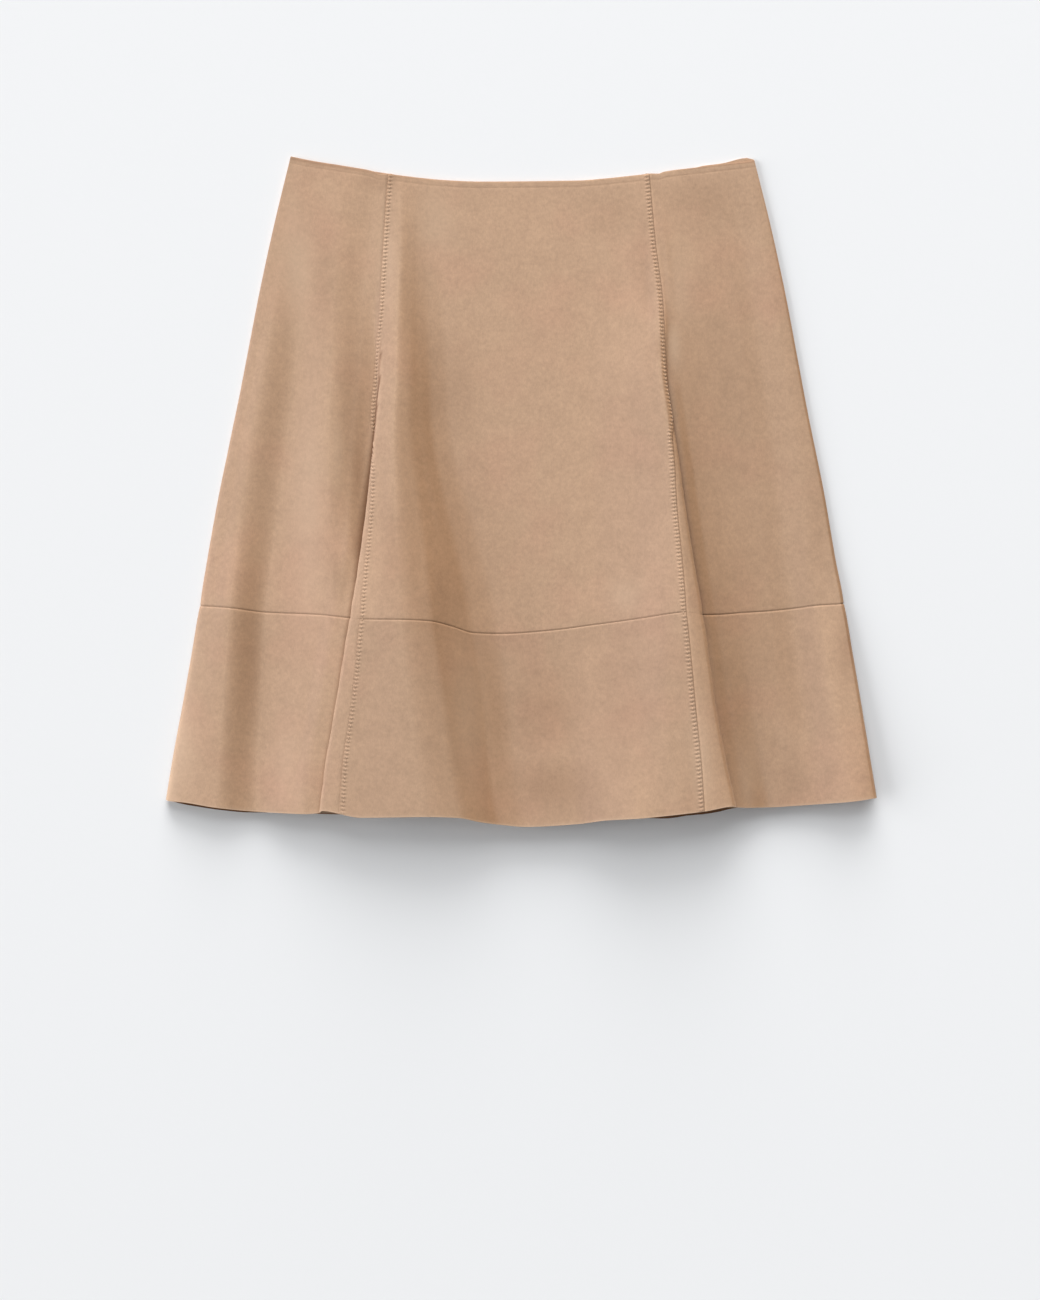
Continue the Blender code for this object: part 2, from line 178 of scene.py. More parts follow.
# The back by its share of the way across, with its drop at the waist, the seam and the hem.
BackColumn = namedtuple("BackColumn", "share waist_drop band_drop hem_drop")
BACK = (
    BackColumn(0.00, 0.6, 359.5, 513.9),
    BackColumn(0.007, 1.2, 359.7, 515.5),
    BackColumn(0.025, 2.6, 360.2, 518.0),
    BackColumn(0.047, 4.2, 360.9, 520.1),
    BackColumn(0.068, 5.8, 361.6, 521.9),
    BackColumn(0.089, 7.1, 362.4, 523.3),
    BackColumn(0.110, 8.3, 363.1, 524.3),
    BackColumn(0.137, 9.6, 363.8, 524.4),
    BackColumn(0.16, 10.8, 364.5, 524.6),
    BackColumn(0.215, 13.8, 366.2, 525.6),
    BackColumn(0.30, 18.5, 368.5, 526.6),
    BackColumn(0.50, 21.5, 370.5, 529.0),
    BackColumn(0.66, 18.9, 368.0, 528.6),
    BackColumn(0.70, 18.0, 367.2, 529.3),
    BackColumn(0.712, 17.6, 366.9, 529.0),
    BackColumn(0.735, 16.9, 366.3, 526.9),
    BackColumn(0.76, 16.0, 365.5, 525.7),
    BackColumn(0.785, 14.9, 364.6, 523.2),
    BackColumn(0.80, 14.2, 364.0, 521.0),
    BackColumn(0.86, 10.6, 362.0, 517.6),
    BackColumn(0.885, 7.6, 361.4, 516.9),
    BackColumn(0.93, 5.4, 360.0, 515.2),
    BackColumn(0.985, 1.0, 358.0, 512.4),
    BackColumn(1.00, 2.4, 357.5, 511.9),
)


def smooth_line(knots, values, places):
    """Values at places on the smooth line through the values, level where it turns back."""
    knots = np.asarray(knots, float)
    values = np.asarray(values, float).reshape(len(knots), -1)
    run = np.diff(knots)[:, None]
    rate = np.diff(values, axis=0) / run
    product = rate[1:] * rate[:-1]
    total = rate[1:] + rate[:-1]
    slopes = np.vstack([rate[:1], np.zeros_like(product), rate[-1:]])
    same_way = product > 0.0
    slopes[1:-1][same_way] = 2.0 * product[same_way] / total[same_way]
    places = np.atleast_1d(np.asarray(places, float))
    span = np.clip(np.searchsorted(knots, places, side="right") - 1, 0, len(run) - 1)
    share = (places - knots[span])[:, None] / run[span]
    rest = 1.0 - share
    return (values[span] * rest ** 2 * (1.0 + 2.0 * share)
            + values[span + 1] * share ** 2 * (3.0 - 2.0 * share)
            + run[span] * share * rest * (slopes[span] * rest - slopes[span + 1] * share))


def row_at(place):
    """Every column of the table of rows, at a place down the skirt."""
    return Row(*smooth_line([row.place for row in ROWS], ROWS, place)[0])


def blend(low, high, share):
    """A share of the way from low to high."""
    return low + (high - low) * share


def drop_at(place, at_waist, at_band, at_hem):
    """The drop down a line: evenly to the band seam, and evenly on to the hem."""
    return np.interp(place, (0.0, 1.0, 2.0), (at_waist, at_band, at_hem))


def graded(length, at_start, at_end, step=CLOTH_STEP):
    """Places along a length, some close together at its ends and the rest a step apart."""
    start = np.array(at_start)
    end = length - np.array(at_end)[::-1]
    between = max(2, int(round((end[0] - start[-1]) / step)))
    return np.concatenate([start, np.linspace(start[-1], end[0], between + 1)[1:-1], end])


def upward(points):
    """The upward normal at each point of a grid that runs down and then across."""
    across = np.gradient(points, axis=1)
    up = -np.gradient(points, axis=0)
    normal = np.cross(across, up)
    return normal / np.linalg.norm(normal, axis=2, keepdims=True)


EDGE_BEVEL = 0.15
BEVELLED_OVER = 60.0
SMOOTH_UNDER = 50.0


def suede_piece(name, points, masks, finish, node):
    """A piece of suede: a grid moved to the points in the middle of its wall, made thick."""
    down_count, across_count = points.shape[:2]
    bpy.ops.object.select_all(action="DESELECT")
    bpy.ops.mesh.primitive_grid_add(
        x_subdivisions=across_count - 1, y_subdivisions=down_count - 1, size=1.0)
    piece = bpy.context.active_object
    piece.name = name
    mesh = piece.data
    mesh.name = name
    corner = np.empty(len(mesh.vertices) * 3)
    mesh.vertices.foreach_get("co", corner)
    across = np.rint((corner[0::3] + 0.5) * (across_count - 1)).astype(int)
    down = np.rint((0.5 - corner[1::3]) * (down_count - 1)).astype(int)
    mesh.vertices.foreach_set("co", (points[down, across] * MM).ravel())
    for mask_name, mask in masks.items():
        layer = mesh.attributes.new(mask_name, "FLOAT", "POINT")
        layer.data.foreach_set("value", mask[down, across].astype(np.float32))
    mesh.update()
    bpy.ops.object.modifier_add(type="SOLIDIFY")
    piece.modifiers[-1].thickness = WALL * MM
    piece.modifiers[-1].offset = 0.0
    bpy.ops.object.modifier_apply(modifier=piece.modifiers[-1].name)
    bpy.ops.object.modifier_add(type="BEVEL")
    piece.modifiers[-1].width = EDGE_BEVEL * MM
    piece.modifiers[-1].segments = 2
    piece.modifiers[-1].limit_method = "ANGLE"
    piece.modifiers[-1].angle_limit = radians(BEVELLED_OVER)
    bpy.ops.object.modifier_apply(modifier=piece.modifiers[-1].name)
    bpy.ops.object.shade_smooth_by_angle(angle=radians(SMOOTH_UNDER))
    mesh.materials.append(finish)
    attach(piece, "root")
    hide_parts(node)


def add_node(tree, kind, **settings):
    """A node of a kind, with its properties and its inputs' values set by name."""
    node = tree.nodes.new("ShaderNode" + kind)
    for name, value in settings.items():
        if name in node.inputs:
            node.inputs[name].default_value = value
        else:
            setattr(node, name, value)
    return node


STITCH = 3.15
SUEDE_COLOUR = (0.516, 0.337, 0.222)
# What multiplies the colour where the hide blushes, the painted shade on slopes that face
# right and on slopes that face left, and the painted shade at seams, needle holes, fold
# edges and the waist's edge; and the colour of worn nap at cut edges, which is also mixed
# in as painted light.
BLUSH = (1.035, 0.965, 0.98, 1.0)
SHADE_FACING_RIGHT = (0.84, 0.74, 0.62, 1.0)
SHADE_FACING_LEFT = (0.83, 0.83, 0.86, 1.0)
PAINTED_SHADE_TINT = (0.36, 0.26, 0.19, 1.0)
WORN_AND_LIT_NAP = (0.66, 0.48, 0.34, 1.0)
WORN_AND_LIT_SHARE = 0.6


def nap_and_painted_shade():
    """The nap of suede: a colour clouded by its brushing, and a fine fibrous surface.

    It reads the cloth's masks: how far the cloth faces right and towards the waist, for
    painted shade on its slopes; where shade is painted at seams, fold edges, the waist's
    edge and the back's hem, and in dark patches that also show the hide's uneven tone;
    where cut edges are worn light, where light is painted in light patches and where the
    lower left crease is made lighter; and "beside_row" and "along_row" where a row of
    stitches puckers it, with shade painted at its needle holes.
    """
    group = bpy.data.node_groups.new("nap_and_painted_shade", "ShaderNodeTree")
    for way, sockets in (("INPUT", (("Colour", "Color"), ("Clouding", "Float"),
                                    ("Grain", "Float"), ("Shift", "Vector"))),
                         ("OUTPUT", (("Colour", "Color"), ("Roughness", "Float"),
                                     ("Normal", "Vector")))):
        for name, kind in sockets:
            group.interface.new_socket(name, in_out=way, socket_type="NodeSocket" + kind)
    link = group.links.new
    given = group.nodes.new("NodeGroupInput")
    result = group.nodes.new("NodeGroupOutput")
    place = group.nodes.new("ShaderNodeTexCoord")
    moved = add_node(group, "VectorMath", operation="ADD")
    link(place.outputs["Object"], moved.inputs[0])
    link(given.outputs["Shift"], moved.inputs[1])

    def noise(scale, detail, stretch=None):
        node = add_node(group, "TexNoise", Scale=scale, Detail=detail, Roughness=0.6)
        source = moved.outputs["Vector"]
        if stretch:
            along = add_node(group, "Mapping", vector_type="POINT")
            along.inputs["Scale"].default_value = stretch
            link(source, along.inputs["Vector"])
            source = along.outputs["Vector"]
        link(source, node.inputs["Vector"])
        return node.outputs["Fac"]

    def math(operation, first, second):
        node = add_node(group, "Math", operation=operation)
        for socket_in, value in zip(node.inputs, (first, second)):
            if isinstance(value, float):
                socket_in.default_value = value
            else:
                link(value, socket_in)
        return node.outputs["Value"]

    def centred(value, strength):
        return math("MULTIPLY", math("SUBTRACT", value, 0.5), strength)

    def mask(name):
        return add_node(group, "Attribute", attribute_name=name).outputs["Fac"]

    def rising(value, low, high):
        node = add_node(group, "MapRange", interpolation_type="SMOOTHSTEP")
        node.inputs["From Min"].default_value = low
        node.inputs["From Max"].default_value = high
        link(value, node.inputs["Value"])
        return node.outputs["Result"]

    def mixed(colour, tint, factor, way="MULTIPLY"):
        node = add_node(group, "Mix", data_type="RGBA", blend_type=way)
        node.inputs["B"].default_value = tint
        link(factor, node.inputs["Factor"])
        link(colour, node.inputs["A"])
        return node.outputs["Result"]

    # How light the nap is: clouds a hand wide, smudges, patches a centimetre wide, and grain.
    clouds = centred(noise(11.0, 3.0), 0.09)
    smudges = centred(noise(1.0, 3.0, (24.0, 46.0, 40.0)), 0.10)
    patches = centred(noise(95.0, 4.0), 0.22)
    clouding = math("ADD", math("ADD", clouds, smudges), patches)
    clouding = math("MULTIPLY", clouding, given.outputs["Clouding"])
    specks = centred(noise(300.0, 3.0), 0.34)
    strokes = centred(noise(1.0, 3.0, (1500.0, 420.0, 1500.0)), 0.30)
    grain = math("MULTIPLY", math("ADD", specks, strokes), given.outputs["Grain"])
    shaded = add_node(group, "VectorMath", operation="SCALE")
    link(given.outputs["Colour"], shaded.inputs[0])
    link(math("ADD", math("ADD", clouding, grain), 1.0), shaded.inputs["Scale"])

    # Beside a row the cloth ripples with the stitches, and has shade painted at the needle holes.
    beside = mask("beside_row")
    turns = math("MULTIPLY", mask("along_row"), 2.0 * pi / STITCH)
    wave = math("COSINE", turns, 0.0)
    ripple = math("MULTIPLY", wave, rising(beside, 7.0, 9.6))
    hole = math("MAXIMUM", math("MULTIPLY", math("SUBTRACT", wave, 0.45), 1.1), 0.0)
    hole = math("MULTIPLY", hole, rising(beside, 9.2, 9.9))

    facing_shade = mask("facing_shade")
    colour = mixed(shaded.outputs["Vector"], BLUSH, centred(noise(13.0, 2.0), 3.2))
    # Painted shade by the way the cloth faces: slopes facing right darker and warmer, and slopes
    # facing left a little darker and greyer.
    colour = mixed(colour, SHADE_FACING_LEFT, math("MULTIPLY", facing_shade, -4.2))
    colour = mixed(colour, SHADE_FACING_RIGHT, math("MULTIPLY", facing_shade, 3.1))
    # Painted shade at seams, fold edges, the waist's edge, the back's hem and needle holes, and in
    # dark patches.
    colour = mixed(colour, PAINTED_SHADE_TINT, math("ADD", mask("painted_shade"), hole))
    # Worn light at cut edges, with painted light in the light patches.
    colour = mixed(colour, WORN_AND_LIT_NAP, math("MULTIPLY", mask("wear_and_painted_light"), WORN_AND_LIT_SHARE), "MIX")
    link(colour, result.inputs["Colour"])
    link(math("ADD", math("MULTIPLY", grain, 0.25), 0.94), result.inputs["Roughness"])

    fibres = noise(1.0, 4.0, (3600.0, 1500.0, 3600.0))
    bump = add_node(group, "Bump", Strength=0.35, Distance=0.3 * MM)
    link(math("ADD", fibres, math("MULTIPLY", patches, 2.0)), bump.inputs["Height"])
    puckers = add_node(group, "Bump", Strength=1.0, Distance=0.15 * MM, invert=True)
    link(ripple, puckers.inputs["Height"])
    link(bump.outputs["Normal"], puckers.inputs["Normal"])
    link(puckers.outputs["Normal"], result.inputs["Normal"])
    return group


NAP = nap_and_painted_shade()


def suede(name, tone, shift):
    """One hide's finish, from how light it is and where its nap's clouds fall."""
    material = bpy.data.materials.new(name)
    material.use_nodes = True
    tree = material.node_tree
    principled = tree.nodes["Principled BSDF"]
    principled.inputs["Metallic"].default_value = 0.0
    principled.inputs["Specular IOR Level"].default_value = 0.15
    principled.inputs["Sheen Weight"].default_value = 0.12
    principled.inputs["Sheen Roughness"].default_value = 0.6
    principled.inputs["Sheen Tint"].default_value = (1.0, 0.88, 0.76, 1.0)
    nap = tree.nodes.new("ShaderNodeGroup")
    nap.node_tree = NAP
    nap.inputs["Colour"].default_value = tuple(tone * c for c in SUEDE_COLOUR) + (1.0,)
    nap.inputs["Clouding"].default_value = 1.0
    nap.inputs["Grain"].default_value = 1.0
    nap.inputs["Shift"].default_value = shift
    tree.links.new(nap.outputs["Colour"], principled.inputs["Base Color"])
    tree.links.new(nap.outputs["Roughness"], principled.inputs["Roughness"])
    tree.links.new(nap.outputs["Normal"], principled.inputs["Normal"])
    return material


def back_points(down_mm, across_shares, first, last):
    """The back between two places: rows by their distance down, columns by their share."""
    places = blend(first, last, down_mm / down_mm[-1])
    shares = [column.share for column in BACK]
    drops = smooth_line(shares, [column[1:] for column in BACK], across_shares)
    points = np.empty((len(places), len(across_shares), 3))
    for i, place in enumerate(places):
        row = row_at(place)
        points[i, :, 0] = blend(row.left_side + SEAM_GAP, row.right_side - SEAM_GAP, across_shares)
        points[i, :, 1] = [LENGTH / 2.0 - drop_at(place, *drop) for drop in drops]
        points[i, :, 2] = WALL / 2.0
    return points


# How dark the shade painted at the back's hem under the front's swells is, by the share of the way
# across, and how far up.
SHADED_HEM = ((0.0, 0.0), (0.01, 1.0), (0.15, 1.0), (0.2, 0.6), (0.66, 0.6), (0.69, 1.0),
              (0.79, 1.0), (0.81, 0.0), (1.0, 0.0))
SHADE_REACH = 12.0
# How dark the shade painted beside the seam between the back and its band is, and how far out.
BACK_SEAM_SHADE = 0.8
BACK_SEAM_REACH = 0.7
BACK_WIDTH = 500.0
BackPiece = namedtuple("BackPiece", "name node place length at_top at_foot flat area")
BACK_PIECES = (
    BackPiece("back", "back_panel", 0.0, 362.0, NEAR_A_CUT, NEAR_A_SEAM, (0.514, 0.370), 0.1587),
    BackPiece("back_hem_band", "back_band", 1.0, 158.0, NEAR_A_SEAM, NEAR_A_CUT,
              (0.566, 0.173), 0.0870),
)
back_finish = suede("suede_back", 0.97, (0.31, 0.12, 0.0))
back_shares = graded(BACK_WIDTH, NEAR_A_CUT, NEAR_A_CUT, BACK_ACROSS_STEP) / BACK_WIDTH
for piece in BACK_PIECES:
    down = graded(piece.length, piece.at_top, piece.at_foot, BACK_DOWN_STEP)
    points = back_points(down, back_shares, piece.place, piece.place + 1.0)
    if piece.name == "back":
        to_seam = down[-1] - down
        points[-1, :, 1] += SEAM_LINE / 2.0
        under_a_swell = np.zeros(len(back_shares))
    else:
        to_seam = down
        points[0, :, 1] -= SEAM_LINE / 2.0
        under_a_swell = np.interp(back_shares, *zip(*SHADED_HEM))
    # Painted shade beside the band's seam and at the hem under the front's swells.
    at_seam = BACK_SEAM_SHADE * np.exp(-to_seam / BACK_SEAM_REACH)[:, None]
    at_hem = np.outer(np.exp(-(down[-1] - down) / SHADE_REACH), under_a_swell)
    plain = np.zeros(points.shape[:2])
    masks = {"painted_shade": np.maximum(at_seam, at_hem), "wear_and_painted_light": plain, "facing_shade": plain}
    suede_piece(piece.name, points, masks, back_finish, piece.node)

# ---------------------------------------------------------------------------------------
# Front: three panels with a hem band under each.
# They are cut from suede, joined by two princess seams and the seam of the band, and lie
# as one surface that stands up in soft swells towards the hem. Beside each princess seam
# the cloth rolls over the side panel in a long fold.
# ---------------------------------------------------------------------------------------
REST_LEVEL = WALL + SEAM_GAP + WALL / 2.0

# Lines that run down the front, each between two edges. A share is how far across it lies,
# at the waist, half way to the band, at the band and at the hem. A rise is its height over
# the level of rest at a quarter, a half and three quarters of the way to the band, at the
# band and at the hem. The drops are where it meets the band's seam and the hem.
Line = namedtuple("Line", "start end waist middle band hem "
                          "quarter_rise half_rise late_rise band_rise hem_rise "
                          "band_drop hem_drop")


def lines_between(start, end, *rows):
    """Lines between two edges, each from a row of its four shares, five rises and two drops."""
    return [Line(start, end, *row) for row in rows]


LEFT_LINES = lines_between(
    "left_side", "left_fold",
    (0.000, 0.00, 0.00, 0.000, 0.0, 0.0, 0.0, 0.0, 1.0, 359.0, 514.0),
    (0.020, 0.018, 0.016, 0.015, 0.6, 1.0, 1.2, 1.8, 4.0, 359.5, 515.0),
    (0.07, 0.07, 0.09, 0.11, 0.7, 2.0, 2.6, 4.2, 7.6, 360.0, 515.9),
    (0.13, 0.14, 0.20, 0.33, 0.8, 3.2, 4.2, 7.2, 10.4, 361.0, 520.2),
    (0.26, 0.37, 0.43, 0.58, 0.3, 0.8, 1.2, 2.0, 6.3, 364.5, 523.4),
    (0.54, 0.65, 0.80, 0.80, 2.8, 6.4, 9.6, 9.2, 13.0, 366.5, 524.6),
    (0.86, 0.83, 0.91, 0.91, 1.5, 4.0, 8.0, 12.0, 15.6, 368.0, 524.9),
)
LEFT_FOOT = Line("left_fold", "left_side", 0.0, 0.0, 0.0, 0.0,
                 1.6, 1.8, 5.2, 12.2, 15.4, 368.5, 525.0)
CENTRE_LINES = lines_between(
    "left_fold", "right_fold",
    (0.000, 0.000, 0.000, 0.000, 2.8, 8.6, 11.6, 17.2, 20.4, 369.7, 522.1),
    (0.020, 0.025, 0.060, 0.100, 3.6, 9.7, 13.1, 19.2, 23.4, 370.2, 527.4),
    (0.050, 0.057, 0.142, 0.260, 4.7, 11.2, 15.3, 22.0, 28.0, 370.5, 526.6),
    (0.080, 0.098, 0.222, 0.332, 3.5, 9.8, 12.9, 19.0, 26.2, 371.5, 527.4),
    (0.110, 0.143, 0.284, 0.388, 1.9, 6.4, 8.3, 12.0, 21.0, 375.5, 531.2),
    (0.150, 0.187, 0.352, 0.434, 0.8, 3.0, 3.8, 4.7, 15.8, 381.0, 533.4),
    (0.200, 0.249, 0.426, 0.496, 0.3, 1.0, 1.2, 1.4, 13.8, 381.6, 535.2),
    (0.350, 0.387, 0.557, 0.620, 0.3, 0.6, 0.6, 0.8, 15.8, 379.3, 532.9),
    (0.720, 0.715, 0.693, 0.690, 0.6, 1.6, 1.8, 2.6, 22.8, 374.5, 529.6),
    (0.840, 0.846, 0.812, 0.770, 1.6, 5.8, 7.2, 9.2, 28.6, 370.0, 527.8),
    (0.940, 0.946, 0.903, 0.860, 3.6, 11.2, 13.8, 18.5, 28.4, 366.0, 524.8),
    (0.985, 0.985, 0.952, 0.925, 5.2, 12.8, 16.0, 20.5, 27.4, 364.5, 522.2),
    (1.000, 1.000, 1.000, 1.000, 5.0, 12.4, 15.4, 19.2, 25.4, 366.0, 518.4),
)
RIGHT_FOOT = Line("right_fold", "right_side", 0.0, 0.0, 0.0, 0.0,
                  4.4, 8.8, 12.0, 13.8, 15.6, 367.5, 520.0)
RIGHT_LINES = lines_between(
    "right_fold", "right_side",
    (0.14, 0.11, 0.105, 0.105, 3.8, 6.9, 8.2, 9.8, 10.6, 366.5, 520.2),
    (0.42, 0.36, 0.28, 0.26, 2.3, 3.5, 4.4, 5.4, 5.8, 365.0, 520.0),
    (0.60, 0.58, 0.48, 0.39, 1.2, 1.8, 2.0, 2.4, 6.0, 363.5, 519.1),
    (0.76, 0.74, 0.65, 0.55, 0.5, 0.8, 0.8, 0.8, 7.6, 361.5, 517.8),
    (0.90, 0.88, 0.82, 0.84, 0.8, 1.2, 1.4, 3.0, 13.0, 359.0, 515.0),
    (0.985, 0.985, 0.985, 0.985, 0.5, 0.8, 1.0, 3.0, 11.6, 357.8, 512.6),
    (1.00, 1.00, 1.00, 1.00, 0.0, 0.0, 0.0, 1.0, 7.6, 357.5, 512.4),
)

# The front's waist: X, and how far the edge lies below its highest point.
WAIST = ((-185.0, 0.0), (-168.0, 3.5), (-137.0, 8.5), (-107.0, 14.0), (-53.0, 19.5),
         (7.0, 21.0), (63.0, 18.0), (101.0, 14.0), (135.0, 9.5), (187.0, 3.5))


def waist_drop(x):
    """How far the front's waist edge lies below its highest point."""
    return smooth_line(*zip(*WAIST), x)[0, 0]


def line_point(line, row):
    """Where a line of the front crosses a row."""
    share = smooth_line((0.0, 0.5, 1.0, 2.0), (line.waist, line.middle, line.band, line.hem),
                        row.place)[0, 0]
    rise = smooth_line((0.0, 0.25, 0.5, 0.75, 1.0, 2.0),
                       (0.0, line.quarter_rise, line.half_rise, line.late_rise, line.band_rise,
                        line.hem_rise), row.place)[0, 0]
    x = blend(getattr(row, line.start), getattr(row, line.end), share)
    at_waist = blend(getattr(ROWS[0], line.start), getattr(ROWS[0], line.end), line.waist)
    drop = drop_at(row.place, waist_drop(at_waist), line.band_drop, line.hem_drop)
    return np.array((x, LENGTH / 2.0 - drop, REST_LEVEL + rise))


def fold_points(foot, edge, outwards, depth):
    """The turns of a fold, from the side panel up to its edge.

    The cloth goes in under the edge at the foot's level, turns back at the fold's depth
    and comes out again to the edge. Each turn is given by how far it lies in under the
    edge and by its height over the foot. Where the depth is below zero it is a soft ramp.
    """
    height = max(0.1, edge[2] - foot[2])
    bend = min(1.6, 0.22 * height)
    soft = min(1.0, max(0.0, -depth / 2.0))
    start = 1.4 * min(depth, 0.0) + 0.35 * max(depth, 0.0) - 2.0
    turns = []
    for reach, rise in ((start, 0.0),
                        (depth - bend, 0.22 * height - bend),
                        (depth, 0.22 * height),
                        (max(0.75 * depth, depth - bend), 0.22 * height + bend),
                        (0.5 * depth, 0.50 * height),
                        (min(bend, 0.25 * depth), 0.75 * height - bend),
                        (0.0, 0.75 * height)):
        turn = blend(foot, edge, 0.5)
        turn[0] = edge[0] - outwards * reach
        share = min(1.0, 1.0 - reach / start)
        ramp = 0.75 * height * share * share * (3.0 - 2.0 * share)
        turn[2] = foot[2] + blend(rise, ramp, soft)
        turns.append(turn)
    return turns


# How far in from a fold's edge the cloth's roll over it begins.
EDGE_ROLL = 2.2


def front_section(place):
    """The front across one row: its knots, their distances along the cloth, and the seams'."""
    row = row_at(place)
    centre = [line_point(line, row) for line in CENTRE_LINES]
    left = [line_point(line, row) for line in LEFT_LINES]
    left += fold_points(line_point(LEFT_FOOT, row), centre[0], -1.0, row.left_depth)
    right = fold_points(line_point(RIGHT_FOOT, row), centre[-1], 1.0, row.right_depth)[::-1]
    right += [line_point(line, row) for line in RIGHT_LINES]
    for edge, inwards in ((centre[0], 1.0), (centre[-1], -1.0)):
        edge[0] += inwards * EDGE_ROLL
    knots = np.array(left + centre + right)
    steps = np.linalg.norm(np.diff(knots, axis=0), axis=1)
    lengths = np.concatenate([[0.0], np.cumsum(steps)])
    left_seam = lengths[len(left) - 1] + row.left_seam
    right_seam = lengths[len(left) + len(centre)] - row.right_seam
    return knots, lengths, left_seam, right_seam


PANEL_LENGTH = 367.0
BAND_LENGTH = 156.0
# How far across each column's mesh is shared out, and its rows near the waist.
ACROSS = {"left": 300.0, "centre": 262.0, "right": 310.0}
NEAR_THE_WAIST = (0.0, 0.4, 0.9, 1.6, 2.6, 3.7, 4.4, 5.0, 5.6, 6.3, 7.4)


def front_piece(column, part):
    """The middle of a front piece's wall, and each point's distance from its four edges."""
    first, length = (0.0, PANEL_LENGTH) if part == "panel" else (1.0, BAND_LENGTH)
    ends = (NEAR_THE_WAIST, NEAR_A_SEAM) if part == "panel" else (NEAR_A_SEAM, NEAR_A_CUT)
    down = graded(length, *ends)
    steps = ACROSS[column] / CLOTH_STEP
    at_left = NEAR_A_CUT if column == "left" else NEAR_A_SEAM
    at_right = NEAR_A_CUT if column == "right" else NEAR_A_SEAM
    inner = np.linspace(0.0, 1.0, int(steps))[1:-1]
    grid, distances = [], []
    for place in first + down / length:
        knots, lengths, left_seam, right_seam = front_section(place)
        start, end = {"left": (0.0, left_seam), "centre": (left_seam, right_seam),
                      "right": (right_seam, lengths[-1])}[column]
        begin, finish = start + at_left[-1], end - at_right[-1]
        along = np.concatenate([start + np.array(at_left), blend(begin, finish, inner),
                                end - np.array(at_right)[::-1]])
        grid.append(smooth_line(lengths, knots, along))
        distances.append(along - start)
    grid, distances = np.array(grid), np.array(distances)
    from_right = distances[:, -1:] - distances
    from_top = np.repeat(down[:, None], grid.shape[1], 1)
    return grid, distances, from_right, from_top, length - from_top


fronts = {}
for column in ("left", "centre", "right"):
    for part in ("panel", "band"):
        fronts[column, part] = front_piece(column, part)

# How light each piece is made, and where the clouds of its nap fall.
TONES = {
    ("left", "panel"): 1.0, ("centre", "panel"): 1.0, ("right", "panel"): 0.965,
    ("left", "band"): 0.95, ("centre", "band"): 0.90, ("right", "band"): 0.965,
}
NAP_SHIFTS = {"left": 0.28, "centre": 0.42, "right": 0.35}
# The node that each piece stands for, and its flat size and area in metres.
Cut = namedtuple("Cut", "node flat area")
CUTS = {
    ("left", "panel"): Cut("front_left_panel", (0.154, 0.370), 0.0410),
    ("centre", "panel"): Cut("front_centre_panel", (0.267, 0.367), 0.0853),
    ("right", "panel"): Cut("front_right_panel", (0.158, 0.365), 0.0410),
    ("left", "band"): Cut("front_left_band", (0.194, 0.167), 0.0273),
    ("centre", "band"): Cut("front_centre_band", (0.295, 0.172), 0.0438),
    ("right", "band"): Cut("front_right_band", (0.199, 0.168), 0.0277),
}
# How plainly each princess seam shows, as a groove and a dark line of painted shade, by the place
# down it.
SEAM_SHOWS = {
    "left": ((0.0, 0.40), (0.2, 0.40), (0.3, 0.08), (0.98, 0.06), (1.05, 0.22), (1.12, 0.22),
             (1.2, 0.05), (1.55, 0.05), (1.65, 0.25), (1.85, 0.25), (2.0, 0.15)),
    "right": ((0.0, 0.45), (0.4, 0.50), (0.9, 0.40), (2.0, 0.50)),
}
# How far the row of stitches lies from each princess seam, by the place down it.
ROW_INSET = {
    "left": ((0.0, 2.2), (1.6, 2.2), (2.0, 3.4)),
    "right": ((0.0, 2.2), (2.0, 2.4)),
}
ROW_REACH = 10.0
# How far the cloth sinks at a seam, and how far out. It sinks more on the sides, because a
# princess seam's turned edges lie under the centre front.
BAND_SEAM_SINK = (0.5, 0.65)
PRINCESS_SEAM_SINK = {"left": (0.9, 1.2), "centre": (0.5, 0.5), "right": (0.9, 1.2)}
# How dark the shade painted in the band's seam is and how far out, and how far out a princess
# seam's painted shade reaches.
BAND_SEAM_SHADE = (0.28, 0.4)
PRINCESS_SEAM_REACH = 0.5
# The lower edge of the cloth that is turned in at the waist: how far down it lies, how far it
# spreads, how far the cloth sinks there, and how dark the shade painted along it is.
TURNED_EDGE = 5.0
TURNED_EDGE_SPREAD = 0.8
TURNED_EDGE_SINK = 0.12
TURNED_EDGE_SHADE = 0.10
# How far the cloth is rounded off at the waist's edge, and how far down.
WAIST_SINK = 0.30
WAIST_SINK_REACH = 0.8
# How dark the shade painted at the waist's edge is, and how far down, by X.
EDGE_SHADES = ((-185.0, 0.45), (-130.0, 0.40), (-90.0, 0.30), (-60.0, 0.12), (120.0, 0.12),
               (140.0, 0.40), (185.0, 0.50))
EDGE_SPREADS = ((-185.0, 1.5), (100.0, 1.5), (140.0, 0.8), (185.0, 0.8))
# Painted shade where the cloth goes in under a fold's edge: how dark, and how far out from the
# edge, by the place down the fold.
FOLD_EDGE_SHADE = {
    "left": ((0.37, 0.00, 1.0), (0.40, 0.70, 1.1), (0.52, 1.00, 1.6), (0.60, 1.00, 2.2),
             (0.65, 0.95, 3.3), (0.70, 0.97, 4.6), (0.74, 0.97, 5.0), (0.79, 0.97, 5.2),
             (0.84, 0.92, 5.0), (0.88, 0.85, 3.6), (0.93, 0.65, 2.8), (1.05, 0.60, 2.5),
             (1.20, 0.50, 2.4), (1.63, 0.35, 2.0), (2.00, 0.20, 2.0)),
    "right": ((0.35, 0.00, 0.9), (0.40, 0.60, 1.0), (0.47, 0.75, 1.3), (0.60, 0.55, 2.2),
              (0.96, 0.42, 3.4), (1.00, 0.28, 3.0), (1.08, 0.28, 3.0), (1.20, 0.00, 3.0),
              (2.00, 0.00, 3.0)),
}
